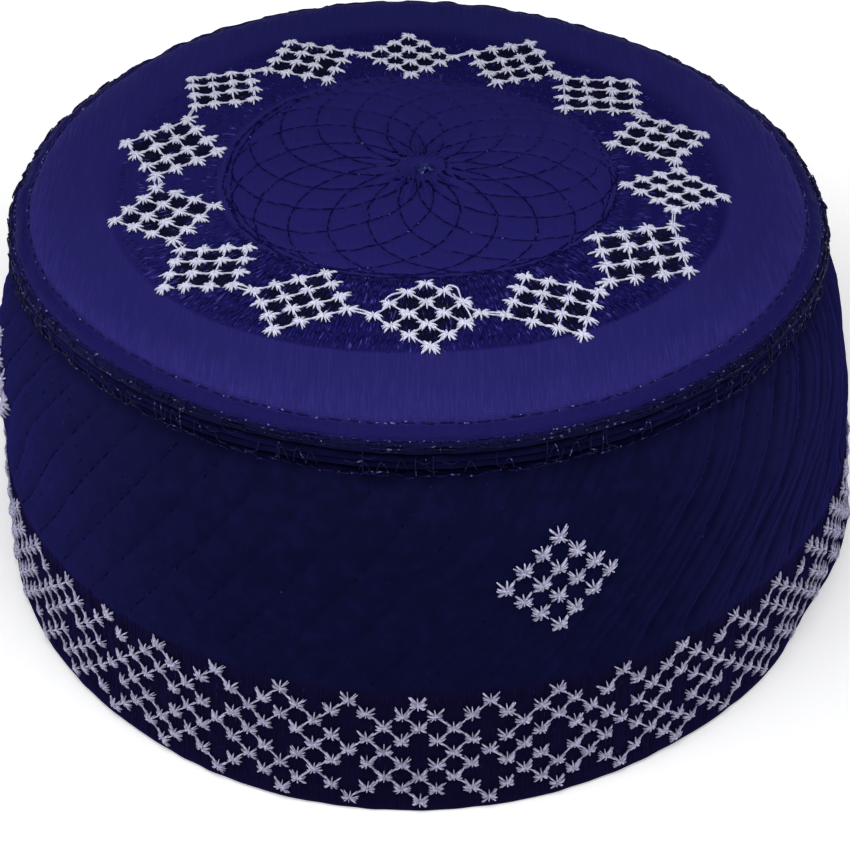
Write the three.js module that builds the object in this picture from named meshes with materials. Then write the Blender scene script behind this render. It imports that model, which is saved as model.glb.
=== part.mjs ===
import * as THREE from 'three';

// A drum-shaped sewn cap, resting on its rim.
// Lengths are millimetres, +Z is up, and the front of the cap faces -Y.
// Turns are degrees round the cap from the front, towards +X.

// Side band
const RIM_RADIUS = 93; // outside of the hem, for a head of about 57 cm
const BAND_HEIGHT = 74.2; // rim to the band's sewn top edge
const BAND_WALL = 2.4; // outer cloth, wadding and facing together
const BAND_LEAN = 6.4; // how far the straight part leans in on its way up
const SHOULDER_HEIGHT = 18.2; // the part of the band that rounds in to the seam
const SHOULDER_DEPTH = 12.3; // half-width of the quarter ellipse that the shoulder follows
const SHOULDER_BEYOND = 3.8; // that ellipse would end this far above the band's edge
const HEM_ROUNDING = 0.5; // rounded corner of the turned hem
const BORDER_HEIGHT = 29.5; // embroidered border, which lies flat

// Quilting of the band above the border
const QUILT_PITCH = 10.4; // from stitched row to stitched row, measured at the rim
const QUILT_DEPTH = 0.8; // how far a stitched row sinks in
const QUILT_SLOPE = 52; // degrees that the rows rise from the level
const QUILT_FADE = 5; // the rows fade out over this height at both ends

// Seam between the band and the top panel
const GAP = 0.3; // clearance between neighbouring pieces
const SEAM_HEIGHT = 3.9; // folded and overlocked seam allowance
const SEAM_STEP = 1.9; // how far it stands out from the band's edge

// Top panel
const CROWN_WALL = 2;
const CROWN_OVERHANG = 2.7; // its folded edge, beyond the band's top edge
const ROLL_WIDTH = 11.8; // the rolled edge is part of an ellipse, this far across
const ROLL_DEPTH = 5.5; // and this deep
const ROLL_TURN = 80; // degrees that the roll turns before the fold
const DENT_DEPTH = 2.4; // the largest rise or dip of the soft top
const DENT_REACH = 21; // how far round its middle each one spreads

// Wound thread knot in the middle of the top
const KNOT_RADIUS = 2.6;
const KNOT_HEIGHT = 1.4;
const KNOT_PROFILE = [
  { across: 0, up: 0 },
  { across: 0.85, up: 0 },
  { across: 1, up: 0.35 },
  { across: 0.8, up: 0.8 },
  { across: 0.4, up: 1 },
  { across: 0, up: 1 },
];

// Hand-made unevenness of the whole cap
const SWELL_DEPTH = 3.7; // furthest that the wall strays from round
const LIFT_DEPTH = 2.7; // furthest that the seam strays from level
const SWELL_REACH = 27; // degrees that each swell spreads to either side

// Where the wall stands out or in at the rim, the waist and the seam, and how the seam rises,
// as shares of SWELL_DEPTH and LIFT_DEPTH
const SWELLS = [
  { turn: -145, rim: 0, waist: 0.18, seam: 0.16, lift: -0.2 },
  { turn: -95, rim: -0.42, waist: -0.16, seam: -0.06, lift: -0.78 },
  { turn: -48, rim: -0.25, waist: 0.13, seam: -0.05, lift: 0.74 },
  { turn: 0, rim: 0.15, waist: -0.12, seam: -0.11, lift: 0 },
  { turn: 48, rim: -0.5, waist: 0.5, seam: 0.4, lift: 0.78 },
  { turn: 95, rim: 1, waist: 0.39, seam: -0.45, lift: -0.68 },
  { turn: 145, rim: 0.3, waist: -0.28, seam: 0.1, lift: -1 },
];

// Rises and dips of the top, each placed by its turn and by its share of the way out to the edge,
// with its rise as a share of DENT_DEPTH
const DENTS = [
  { turn: 0, out: 0, rise: 0.46 },
  { turn: 0, out: 0.64, rise: 1 },
  { turn: 51, out: 0.64, rise: 0.16 },
  { turn: 103, out: 0.64, rise: 0.14 },
  { turn: 154, out: 0.64, rise: -0.78 },
  { turn: 206, out: 0.64, rise: -0.06 },
  { turn: 257, out: 0.64, rise: 0.19 },
  { turn: 309, out: 0.64, rise: -0.4 },
];

// Fineness of the surfaces
const CROWN_COLUMNS = 80;
const KNOT_COLUMNS = 16;
const COLUMNS_PER_ROW = 3;

const radians = THREE.MathUtils.degToRad;
const quiltRows = Math.round((2 * Math.PI * RIM_RADIUS) / QUILT_PITCH);
const shoulderStart = BAND_HEIGHT - SHOULDER_HEIGHT;
const shoulderLength = SHOULDER_HEIGHT + SHOULDER_BEYOND;

// Outer radius of the band at a height: a straight lean, then the shoulder's quarter ellipse
function bandRadius(z) {
  const lean = (BAND_LEAN * z) / shoulderStart;
  const along = Math.max(0, (z - shoulderStart) / shoulderLength);
  return RIM_RADIUS - lean - SHOULDER_DEPTH * (1 - Math.sqrt(1 - along ** 2));
}

const bandEdge = bandRadius(BAND_HEIGHT);
const seamBottom = BAND_HEIGHT + GAP;
const seamTop = seamBottom + SEAM_HEIGHT;
const seamOuter = bandEdge + SEAM_STEP;
const crownRadius = bandEdge + CROWN_OVERHANG;
const rollStart = crownRadius - ROLL_WIDTH;
const rollEnd = radians(ROLL_TURN);
const rollLevel = seamTop + GAP - (ROLL_DEPTH - CROWN_WALL) * Math.cos(rollEnd);
const crownTop = rollLevel + ROLL_DEPTH;

// A corner of the rolled edge, a named depth under the outer surface
function rollCorner(degrees, under) {
  const turn = radians(degrees);
  return {
    radius: rollStart + (ROLL_WIDTH - under) * Math.sin(turn),
    height: rollLevel + (ROLL_DEPTH - under) * Math.cos(turn),
  };
}

// The seam allowance lies under the roll from here outwards
const seamInner = rollCorner(ROLL_TURN / 2, CROWN_WALL + GAP);

// Weight of a bell-shaped rise at a distance from its middle
function bell(distance, reach) {
  return Math.exp(-0.5 * (distance / reach) ** 2);
}

// Eased step from 0 to 1
function smooth(value) {
  const t = THREE.MathUtils.clamp(value, 0, 1);
  return t * t * (3 - 2 * t);
}

// A point of the ideal round cap, moved to where the uneven cap has it
function settle(radius, angle, z) {
  const share = THREE.MathUtils.clamp(z / crownTop, 0, 1);
  const atRim = (1 - share) * (1 - 2 * share);
  const atWaist = 4 * share * (1 - share);
  const atSeam = share * (2 * share - 1);
  let swell = 0;
  let lift = 0;
  for (const row of SWELLS) {
    const past = THREE.MathUtils.radToDeg(angle) - row.turn;
    const away = THREE.MathUtils.euclideanModulo(past + 180, 360) - 180;
    const weight = bell(away, SWELL_REACH);
    swell += weight * SWELL_DEPTH * (atRim * row.rim + atWaist * row.waist + atSeam * row.seam);
    lift += weight * LIFT_DEPTH * row.lift;
  }
  const settled = radius * (1 + swell / RIM_RADIUS);
  const rise = share * (radius / crownRadius) ** 2 * lift;
  return new THREE.Vector3(settled * Math.sin(angle), -settled * Math.cos(angle), z + rise);
}

// Height that the rises and dips add to the top, faded out before the seam allowance
function dentRise(point) {
  const radius = Math.hypot(point.x, point.y);
  const fade = smooth((seamInner.radius - radius) / ROLL_WIDTH);
  let rise = 0;
  for (const dent of DENTS) {
    const x = dent.out * crownRadius * Math.sin(radians(dent.turn));
    const y = -dent.out * crownRadius * Math.cos(radians(dent.turn));
    rise += dent.rise * DENT_DEPTH * bell(Math.hypot(point.x - x, point.y - y), DENT_REACH);
  }
  return fade * rise;
}

function settleCrown(radius, angle, z) {
  const point = settle(radius, angle, z);
  point.z += dentRise(point);
  return point;
}

// A closed surface from a section that is carried round the cap.
// The section lists corners counter-clockwise, seen with the axis at its left, and a corner's turn
// carries it further round than the others.
// A section that starts and ends on the axis makes a disc, and any other makes a ring.
function carryRound(section, columns, place, relief = () => 0) {
  const positions = [];
  const indices = [];
  const isDisc = section[0].radius === 0;
  const rows = section.map((corner) => {
    const count = corner.radius === 0 ? 1 : columns;
    const row = [];
    for (let column = 0; column < count; column += 1) {
      const angle = (2 * Math.PI * column) / columns + (corner.turn ?? 0);
      const radius = corner.radius - relief(corner, column);
      row.push(positions.length / 3);
      positions.push(...place(radius, angle, corner.height).toArray());
    }
    return row;
  });
  const bands = isDisc ? rows.length - 1 : rows.length;
  for (let index = 0; index < bands; index += 1) {
    const low = rows[index];
    const high = rows[(index + 1) % rows.length];
    for (let column = 0; column < columns; column += 1) {
      const next = (column + 1) % columns;
      if (low.length > 1) {
        indices.push(low[column], low[next], high[next % high.length]);
      }
      if (high.length > 1) {
        indices.push(low[column % low.length], high[next], high[column]);
      }
    }
  }
  const geometry = new THREE.BufferGeometry();
  geometry.setAttribute('position', new THREE.Float32BufferAttribute(positions, 3));
  geometry.setIndex(indices);
  geometry.computeVertexNormals();
  return geometry;
}

function piece(name, geometry, colour, roughness) {
  const material = new THREE.MeshStandardMaterial({ color: colour, roughness, metalness: 0 });
  const mesh = new THREE.Mesh(geometry, material);
  mesh.name = name;
  return mesh;
}

// Heights evenly spread between two levels, the first one left out
function levels(from, to, count) {
  return Array.from({ length: count }, (_, index) => from + ((to - from) * (index + 1)) / count);
}

// Side band: outer face from the hem up to the seam, then the inner face down again
function sideBand() {
  const slope = Math.tan(radians(QUILT_SLOPE));
  const quiltTop = BAND_HEIGHT - HEM_ROUNDING;
  const corner = (height, inset) => {
    const turn = Math.max(0, height - BORDER_HEIGHT) / slope / RIM_RADIUS;
    const ramp = Math.min(height - BORDER_HEIGHT, quiltTop - height) / QUILT_FADE;
    const quilted = inset === 0 ? smooth(ramp) : 0;
    return { radius: bandRadius(height) - inset, height, turn, quilted };
  };
  const outerHeights = [
    HEM_ROUNDING,
    ...levels(HEM_ROUNDING, BORDER_HEIGHT, 2),
    ...levels(BORDER_HEIGHT, shoulderStart, 5),
    ...levels(shoulderStart, quiltTop, 5),
  ];
  const innerHeights = [
    ...levels(BAND_HEIGHT, shoulderStart, 3),
    ...levels(shoulderStart, HEM_ROUNDING, 2),
  ];
  const section = [
    corner(0, HEM_ROUNDING),
    ...outerHeights.map((height) => corner(height, 0)),
    corner(BAND_HEIGHT, HEM_ROUNDING),
    corner(BAND_HEIGHT, BAND_WALL),
    ...innerHeights.map((height) => corner(height, BAND_WALL)),
    corner(0, BAND_WALL - HEM_ROUNDING),
  ];
  const sink = (row, column) => (column % COLUMNS_PER_ROW === 0 ? row.quilted * QUILT_DEPTH : 0);
  const band = carryRound(section, quiltRows * COLUMNS_PER_ROW, settle, sink);
  return piece('side_band', band, 0x1c1558, 0.85);
}

// Top panel: underside from the middle out, round the folded edge, and back over the top
function crownTopPanel() {
  const flat = (height) => (radius) => ({ radius, height });
  const under = flat(crownTop - CROWN_WALL);
  const over = flat(crownTop);
  const section = [
    under(0),
    ...levels(0, rollStart, 3).map(under),
    ...levels(0, ROLL_TURN, 2).map((degrees) => rollCorner(degrees, CROWN_WALL)),
    ...levels(0, ROLL_TURN, 4).map((degrees) => rollCorner(degrees, 0)).reverse(),
    ...levels(0, rollStart, 9).map(over).reverse(),
    over(0),
  ];
  return piece('crown_top', carryRound(section, CROWN_COLUMNS, settleCrown), 0x261d78, 0.7);
}

// Overlocked seam allowance, filling the recess between the band's edge and the top's folded edge
function crownSeam() {
  const knee = rollCorner(ROLL_TURN, CROWN_WALL + GAP);
  const section = [
    { radius: seamInner.radius, height: seamBottom },
    { radius: seamOuter - SEAM_STEP / 2, height: seamBottom },
    { radius: seamOuter, height: seamBottom + SEAM_HEIGHT / 3 },
    { radius: seamOuter, height: seamTop - SEAM_HEIGHT / 4 },
    { radius: seamOuter - SEAM_STEP / 4, height: seamTop },
    { radius: knee.radius, height: seamTop },
    seamInner,
  ];
  return piece('crown_seam', carryRound(section, CROWN_COLUMNS, settle), 0x0d0a30, 0.95);
}

// Thread knot: a low dome that sits on the middle of the top
function centreKnot() {
  const seat = settleCrown(0, 0, crownTop).z + GAP;
  const section = KNOT_PROFILE.map((row) => ({
    radius: row.across * KNOT_RADIUS,
    height: seat + row.up * KNOT_HEIGHT,
  }));
  const upright = (radius, angle, z) => {
    return new THREE.Vector3(radius * Math.sin(angle), -radius * Math.cos(angle), z);
  };
  return piece('centre_knot', carryRound(section, KNOT_COLUMNS, upright), 0x3a3a98, 0.6);
}

const cap = new THREE.Group();
cap.add(sideBand(), crownSeam(), crownTopPanel(), centreKnot());

// The cap stands on z = 0 with the middle of its outline on the axis
const outline = new THREE.Box3().setFromObject(cap);
const middle = outline.getCenter(new THREE.Vector3());
cap.position.set(-middle.x, -middle.y, 0);

export default cap;
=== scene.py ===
import math
from functools import partial
import bpy
import numpy as np
from mathutils import Matrix, Vector


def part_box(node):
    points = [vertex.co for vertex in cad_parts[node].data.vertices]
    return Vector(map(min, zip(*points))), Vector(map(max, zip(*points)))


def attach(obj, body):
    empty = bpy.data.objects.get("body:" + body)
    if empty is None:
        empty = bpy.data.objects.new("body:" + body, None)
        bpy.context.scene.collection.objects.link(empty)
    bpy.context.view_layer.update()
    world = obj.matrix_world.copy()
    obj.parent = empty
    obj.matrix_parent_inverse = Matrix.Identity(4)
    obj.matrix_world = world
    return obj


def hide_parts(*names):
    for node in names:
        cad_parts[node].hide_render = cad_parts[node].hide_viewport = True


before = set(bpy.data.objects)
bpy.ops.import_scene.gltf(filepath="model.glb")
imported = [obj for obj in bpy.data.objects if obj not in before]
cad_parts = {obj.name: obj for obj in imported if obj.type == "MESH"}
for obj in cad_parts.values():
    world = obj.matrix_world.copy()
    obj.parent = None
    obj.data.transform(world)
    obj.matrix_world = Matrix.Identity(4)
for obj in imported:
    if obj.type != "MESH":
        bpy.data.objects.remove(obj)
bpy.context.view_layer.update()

# A quilted prayer cap with white star embroidery on navy cotton.
# Shapes are worked out in millimetres round the cap's own axis and become metres in add_piece.
# Turns are degrees round the cap from the front (-Y) towards +X.
MM = 0.001
knot_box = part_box("centre_knot")
AXIS = np.array([(knot_box[0][0] + knot_box[1][0]) / 2, (knot_box[0][1] + knot_box[1][1]) / 2, 0.0])

# Sizes that the frame's solids have too
RIM_RADIUS = 93.0
BAND_HEIGHT = 74.2
BAND_WALL = 2.4
BAND_LEAN = 6.4
SHOULDER_HEIGHT = 18.2
SHOULDER_DEPTH = 12.3
SHOULDER_BEYOND = 3.8
BORDER_HEIGHT = 29.5
QUILT_DEPTH = 0.6
QUILT_SLOPE = 52.0
QUILT_FADE = 5.0
GAP = 0.3
SEAM_HEIGHT = 3.9
SEAM_STEP = 1.9
CROWN_WALL = 2.0
CROWN_OVERHANG = 2.7
ROLL_WIDTH = 11.8
ROLL_DEPTH = 5.5
ROLL_TURN = 80.0
DENT_DEPTH = 2.4
DENT_REACH = 21.0
SWELL_DEPTH = 3.7
LIFT_DEPTH = 2.7
SWELL_REACH = 27.0
# How far the top has sunk inside its rolled edge
CROWN_SLACK = 0.65

# Unevenness of the whole cap: turn, then shares of SWELL_DEPTH at the rim, waist and seam,
# then the seam's rise as a share of LIFT_DEPTH
SWELLS = (
    (-145, 0, 0.18, 0.16, -0.2),
    (-95, -0.42, -0.16, -0.06, -0.78),
    (-48, -0.25, 0.13, -0.05, 0.74),
    (0, 0.15, -0.12, -0.11, 0),
    (48, -0.5, 0.5, 0.4, 0.78),
    (95, 1, 0.39, -0.45, -0.68),
    (145, 0.3, -0.28, 0.1, -1),
)
# Rises and dips of the soft top: turn, share of the way out, share of DENT_DEPTH
DENTS = (
    (0, 0, 0.46),
    (0, 0.64, 1),
    (51, 0.64, 0.16),
    (103, 0.64, 0.14),
    (154, 0.64, -0.78),
    (206, 0.64, -0.06),
    (257, 0.64, 0.19),
    (309, 0.64, -0.4),
)

# In and out of the hem: turn, degrees that the wave reaches, millimetres
HEM_WAVES = (
    (62, 9, -1.8),
    (84, 8, 0.8),
    (-20, 12, 0.5),
    (150, 14, -1.2),
    (212, 12, 0.9),
)
HEM_WAVE_HEIGHT = 16.0
# How far the hem stands off the surface, and the half turn at the front over which it rests
HEM_LIFT = 0.9
HEM_RESTS = 22.0

# Quilting
FINE_ROWS = 168
ROWS_PER_BOLD = 3
FINE_DEPTH = 0.15
FINE_WIDTH = 0.7
PUCKER = 0.2
SOFT_SWELL = 0.6
WOVEN = 0.12
SIDESTITCH_DEPTH = 0.5
STITCH_LENGTH = 2.9
# Points along a running stitch, as shares of its length
STITCH_STEPS = np.array((0, 0.5, 1))

# Embroidered border: a chart of stars that repeats every eight columns
BORDER_COLUMNS = 176
BORDER_START = -0.354
BORDER_FOOT = 2.864
BORDER_ROW = 3.023
BORDER_ROWS_BY_COLUMN = (
    (0, 2, 6, 8),
    (1, 3, 5, 7),
    (2, 4, 6),
    (1, 3, 5, 7),
    (0, 4, 8),
    (1, 3, 5, 7),
    (2, 4, 6),
    (1, 3, 5, 7),
)
BORDER_LAST_ROW = 8
# Reach of a border star's arms, and their width, as shares of those of a plain star
BORDER_ARMS = 0.94
BORDER_THINNED = 0.73
BORDER_LOWEST = 0.8

# Lozenges of four by four stars
LOZENGE_SIDE = 4
RING_COUNT = 14
RING_TURN = 1.57
RING_RADIUS = 51.52
RING_HALF = 9.66
# Reach of a ring star's arms, as a share of the way to the middle between two stars
RING_ARMS = 0.96
# Lozenges of the ring that sit unevenly: number round the ring, millimetres onward and outward,
# stretch onward and outward
LOZENGE_SHIFTS = (
    (1, -0.9, 1.8, 0.95, 1.0),
    (2, 0.0, 0.1, 1.2, 1.0),
    (3, 1.8, 0.0, 0.8, 1.0),
    (5, 0.0, -0.3, 1.15, 1.0),
    (6, 0.3, 0.9, 1.0, 1.1),
    (7, 0.3, -2.0, 1.0, 0.9),
    (9, -1.9, 1.7, 0.9, 0.9),
    (10, 0.0, -0.4, 1.15, 1.0),
    (11, 1.5, -0.3, 1.0, 1.0),
    (12, 0.0, 0.0, 0.85, 1.0),
    (13, -0.8, -1.1, 1.0, 1.0),
)
# Slack threads over the front lozenge, by points in halves of the pitch from its middle
SLACK_THREADS = (
    ((0.9, 2.0), (1.3, 2.5), (1.8, 2.2), (1.95, 1.3)),
    ((1.5, 1.9), (1.8, 1.0), (2.2, 0.2), (2.5, -0.9)),
    ((-1.2, 2.1), (-1.9, 1.7), (-2.3, 1.2), (-2.1, 0.9)),
)
SIDE_LOZENGES = (16.0, 106.0, 196.0, 286.0)
SIDE_LOZENGE_HEIGHT = 51.7
SIDE_LOZENGE_ROW = 3.089
SIDE_LOZENGE_COLUMN = 2.045

# Rosette stitched into the middle of the top
ROSETTE_CIRCLES = 16
ROSETTE_REACH = 19.85
ROSETTE_TURN = 0.299
ROSETTE_MIDDLE = (0.8, 0.0)
ROSETTE_EDGES = (38.1, 39.3)
PADDING = 0.42
FILL_INNER = 39.9
FILL_OUTER = 62.0
FILL_RISE = 0.3
FILL_TIERS = 5

# Thread knot in the middle of the top, and the gathered ring round it
GATHER_RADIUS = 4.9
KNOT_MIDDLE = (1.3, 0.2)
KNOT_TURNS = 16
KNOT_REACH = 2.1
KNOT_RISE = 1.1

# Seam stitching, by the distance from the middle along the top, and by the height on the side
TOPSTITCH_ACROSS = 78.1
ROLL_HATCH = 72.0
EDGESTITCH_ACROSS = 82.8
TOPSTITCH_DEPTH = 0.5
EDGESTITCH_DEPTH = 0.4
SIDESTITCH_HEIGHT = 73.0

shoulder_start = BAND_HEIGHT - SHOULDER_HEIGHT
shoulder_length = SHOULDER_HEIGHT + SHOULDER_BEYOND
fine_turn = 360 / FINE_ROWS
fine_pitch = 2 * math.pi * RIM_RADIUS / FINE_ROWS


def ease(value):
    """Smooth step from 0 to 1."""
    t = np.clip(value, 0, 1)
    return t * t * (3 - 2 * t)


def bell(value, reach):
    """1 at zero, falling off smoothly over a reach to both sides."""
    return np.exp(-((value / reach) ** 2))


def wrap(turn):
    """Turns as degrees from -180 to 180."""
    return np.mod(turn + 180, 360) - 180


def flat(turn, across):
    """Flat place on the top of a turn and a distance from the middle."""
    return across * np.sin(np.radians(turn)), -across * np.cos(np.radians(turn))


def band_radius(height):
    """Outer radius of the side at a height: a straight lean, then a quarter ellipse."""
    lean = BAND_LEAN * height / shoulder_start
    along = np.clip((height - shoulder_start) / shoulder_length, 0, 0.999)
    return RIM_RADIUS - lean - SHOULDER_DEPTH * (1 - np.sqrt(1 - along**2))


band_edge = float(band_radius(np.array(BAND_HEIGHT)))
seam_bottom = BAND_HEIGHT + GAP
seam_top = seam_bottom + SEAM_HEIGHT
seam_outer = band_edge + SEAM_STEP
crown_radius = band_edge + CROWN_OVERHANG
roll_start = crown_radius - ROLL_WIDTH
roll_end = math.radians(ROLL_TURN)
roll_level = seam_top + GAP - (ROLL_DEPTH - CROWN_WALL) * math.cos(roll_end)
crown_top = roll_level + ROLL_DEPTH
seam_inner = roll_start + (ROLL_WIDTH - CROWN_WALL - GAP) * math.sin(roll_end / 2)


def settle(radius, turn, height):
    """Moves points of the ideal round cap to where the uneven cap has them."""
    share = np.clip(height / crown_top, 0, 1)
    at_rim = (1 - share) * (1 - 2 * share)
    at_waist = 4 * share * (1 - share)
    at_seam = share * (2 * share - 1)
    swell = 0
    lift = 0
    for middle, rim, waist, seam, rise in SWELLS:
        away = wrap(turn - middle)
        weight = np.exp(-0.5 * (away / SWELL_REACH) ** 2)
        swell = swell + weight * SWELL_DEPTH * (at_rim * rim + at_waist * waist + at_seam * seam)
        lift = lift + weight * LIFT_DEPTH * rise
    settled = radius * (1 + swell / RIM_RADIUS)
    angle = np.radians(turn)
    rise = share * (radius / crown_radius) ** 2 * lift
    return np.stack((settled * np.sin(angle), -settled * np.cos(angle), height + rise), -1)


def noise(across, up, cells, seed):
    """Smooth noise from -1 to 1 that closes after a whole number of cells across."""
    rows = 61
    table = np.random.default_rng(seed).uniform(-1, 1, (cells, rows))
    column = np.floor(across).astype(int)
    row = np.floor(up).astype(int)
    part = ease(across - column)
    rise = ease(up - row)

    def level(row):
        row = row % rows
        return table[column % cells, row] * (1 - part) + table[(column + 1) % cells, row] * part

    return level(row) * (1 - rise) + level(row + 1) * rise


def ripple(turn, up, wide, tall, seed):
    """Smooth noise round the cap, in cells some degrees wide and some millimetres tall."""
    return noise(np.mod(turn, 360) / wide, up / tall, round(360 / wide), seed)


def hem_lift(turn, height):
    """The soft hem rests at the front and stands a little off the surface further round."""
    wave = 0.5 + 0.5 * ripple(turn + 9, np.zeros_like(turn), 20, 1, 5)
    return HEM_LIFT * wave * (1 - bell(wrap(turn), HEM_RESTS)) * ease(1 - height / BORDER_HEIGHT)


def hem_waves(turn, height):
    """How far the unstiffened hem wanders in and out."""
    wander = 0.35 * bell(height, 2.5)
    for middle, reach, depth in HEM_WAVES:
        wander = wander + depth * bell(wrap(turn - middle), reach) * ease(1 - height / HEM_WAVE_HEIGHT)
    return wander


def stretched(turn):
    """Share of the quilting's relief that shows: the cloth is stretched flat at the front."""
    side = wrap(turn)
    right = ease((side - 14) / 26) * ease((160 - side) / 40)
    return 0.4 + 0.6 * ease((np.abs(side) - 8) / 42) + 0.4 * right


def shear(height):
    """Degrees that a quilted row has moved round the cap at a height."""
    rise = np.maximum(0, height - BORDER_HEIGHT)
    return np.degrees(rise / math.tan(math.radians(QUILT_SLOPE)) / RIM_RADIUS)


def side_relief(turn, height):
    """How far the quilted cloth stands out from the plain side."""
    rows = (turn - shear(height)) / fine_turn
    from_row = (rows - np.round(rows)) * fine_pitch
    from_bold = np.abs(rows / ROWS_PER_BOLD - np.round(rows / ROWS_PER_BOLD)) * ROWS_PER_BOLD
    fade = ease((height - BORDER_HEIGHT) / QUILT_FADE) * ease((BAND_HEIGHT - height) / QUILT_FADE)
    fine = FINE_DEPTH * bell(from_row, FINE_WIDTH)
    bold = QUILT_DEPTH * np.clip(1 - from_bold, 0, 1) ** 1.3
    along = height / math.sin(math.radians(QUILT_SLOPE))
    pucker = PUCKER * noise(np.mod(rows, FINE_ROWS), along / 4.2, FINE_ROWS, 11)
    soft = SOFT_SWELL * noise(np.mod(rows, FINE_ROWS) / 4, along / 17, FINE_ROWS // 4, 12)
    stitched = SIDESTITCH_DEPTH * bell(height - SIDESTITCH_HEIGHT, 0.9)
    woven = WOVEN * ripple(turn, height, 2, 3, 13)
    quilted = fade * (soft + stretched(turn) * (pucker - fine - bold))
    return quilted - stitched + woven + hem_waves(turn, height)


def side_at(turn, height, out):
    """Points on the quilted side, a distance out from its cloth."""
    radius = band_radius(height)
    step = 0.05
    fall = (band_radius(height - step) - band_radius(height + step)) / (2 * step)
    length = np.hypot(1, fall)
    proud = out + side_relief(turn, height)
    lifted = height + hem_lift(turn, height) + proud * fall / length
    return settle(radius + proud / length, turn, lifted)


def apart(x, y, place):
    """Flat distance of points from a place."""
    return np.hypot(x - place[0], y - place[1])


def rosette_middles():
    """Flat places of the middles of the rosette's circles."""
    for index in range(ROSETTE_CIRCLES):
        turn = ROSETTE_TURN + 2 * math.pi * index / ROSETTE_CIRCLES
        x = ROSETTE_MIDDLE[0] + ROSETTE_REACH * math.cos(turn)
        yield x, ROSETTE_MIDDLE[1] - ROSETTE_REACH * math.sin(turn)


def rosette_distance(x, y):
    """Distance from the nearest stitched line of the rosette."""
    circles = [(middle, ROSETTE_REACH) for middle in rosette_middles()]
    circles += [(ROSETTE_MIDDLE, edge) for edge in ROSETTE_EDGES]
    return np.min([np.abs(apart(x, y, middle) - radius) for middle, radius in circles], axis=0)


# Ripples of the top: depth, degrees wide, millimetres tall, seed, where they begin, how gently
CROWN_RIPPLES = (
    (0.22, 2.4, 9, 21, 70, 6),
    (0.28, 1.5, 5, 25, TOPSTITCH_ACROSS, 2),
    (0.35, 15, 13, 22, 0, 30),
    (0.1, 3, 3, 23, 0, 45),
)


def crown_relief(turn, across):
    """How far the cloth of the top stands out from its plain surface."""
    x, y = flat(turn, across)
    padded = PADDING * (1 - bell(rosette_distance(x, y), 0.85))
    relief = padded * ease((ROSETTE_EDGES[1] + 1.5 - across) / 2)
    middle = apart(x, y, ROSETTE_MIDDLE)
    pulled = 0.3 * np.cos(2 * ROSETTE_CIRCLES * np.radians(turn)) + 0.3 * ripple(turn, across, 15, 9, 24)
    relief += pulled * ease((middle - 2.5) / 2) * bell(middle - 4, 7)
    relief += 0.85 * bell(middle - 4.1, 0.9) - 0.5 * bell(middle, 2.6)
    relief += FILL_RISE * ease((across - FILL_INNER) / 2) * ease((FILL_OUTER + 0.5 - across) / 2)
    relief -= TOPSTITCH_DEPTH * bell(across - TOPSTITCH_ACROSS, 0.8)
    relief -= EDGESTITCH_DEPTH * bell(across - EDGESTITCH_ACROSS, 0.7)
    for depth, wide, tall, seed, begin, gently in CROWN_RIPPLES:
        relief += depth * ease((across - begin) / gently) * ripple(turn, across, wide, tall, seed)
    return relief


def crown_at(turn, across, out):
    """Points on the top, by the distance from its middle along the cloth."""
    bend = np.maximum(0, (across - roll_start) / ROLL_WIDTH)
    radius = np.minimum(across, roll_start) + ROLL_WIDTH * np.sin(bend)
    height = roll_level + ROLL_DEPTH * np.cos(bend)
    length = np.hypot(ROLL_DEPTH * np.sin(bend), ROLL_WIDTH * np.cos(bend))
    proud = out + crown_relief(turn, across)
    radius = radius + proud * ROLL_DEPTH * np.sin(bend) / length
    height = height + proud * ROLL_WIDTH * np.cos(bend) / length
    return dented(settle(radius, turn, height))


def dented(points):
    """Adds the rises and dips of the soft top, which has sunk a little inside its rolled edge."""
    fade = ease((seam_inner - np.hypot(points[..., 0], points[..., 1])) / ROLL_WIDTH)
    rise = 0
    for turn, out, share in DENTS:
        x = out * crown_radius * math.sin(math.radians(turn))
        y = -out * crown_radius * math.cos(math.radians(turn))
        away = apart(points[..., 0], points[..., 1], (x, y))
        rise = rise + share * DENT_DEPTH * np.exp(-0.5 * (away / DENT_REACH) ** 2)
    points[..., 2] += fade * (rise - CROWN_SLACK)
    return points


def crown_flat(x, y, out):
    """Points on the top, by flat places measured from the middle."""
    return crown_at(np.degrees(np.arctan2(x, -y)), np.hypot(x, y), out)


# Meshes

def add_object(name, data):
    thing = bpy.data.objects.new(name, data)
    bpy.context.scene.collection.objects.link(thing)
    return thing


def add_piece(name, vertices, quads, material, triangles=()):
    """A mesh piece from points in millimetres and corner numbers, riding on the cap."""
    points = np.reshape(vertices, (-1, 3)) * MM + AXIS
    corners = np.concatenate((np.ravel(quads), np.ravel(triangles))).astype(np.int32)
    totals = np.repeat((4, 3), (len(quads), len(triangles))).astype(np.int32)
    mesh = bpy.data.meshes.new(name)
    mesh.vertices.add(len(points))
    mesh.vertices.foreach_set("co", points.astype(np.float32).ravel())
    mesh.loops.add(len(corners))
    mesh.loops.foreach_set("vertex_index", corners)
    mesh.polygons.add(len(totals))
    mesh.polygons.foreach_set("loop_start", (np.cumsum(totals) - totals).astype(np.int32))
    mesh.polygons.foreach_set("loop_total", totals)
    mesh.update(calc_edges=True)
    mesh.polygons.foreach_set("use_smooth", np.ones(len(totals), dtype=bool))
    mesh.materials.append(MATERIALS[material])
    piece = add_object(name, mesh)
    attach(piece, "root")
    return piece


def loop_quads(rows, columns, closed):
    """Corner numbers of a grid of rows that run round the cap, closed along its section or not."""
    grid = np.arange(rows * columns).reshape(rows, columns)
    beside = np.roll(grid, -1, 1)
    corners = np.stack((grid, beside, np.roll(beside, -1, 0), np.roll(grid, -1, 0)), -1)
    return corners[:rows if closed else rows - 1].reshape(-1, 4)


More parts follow.
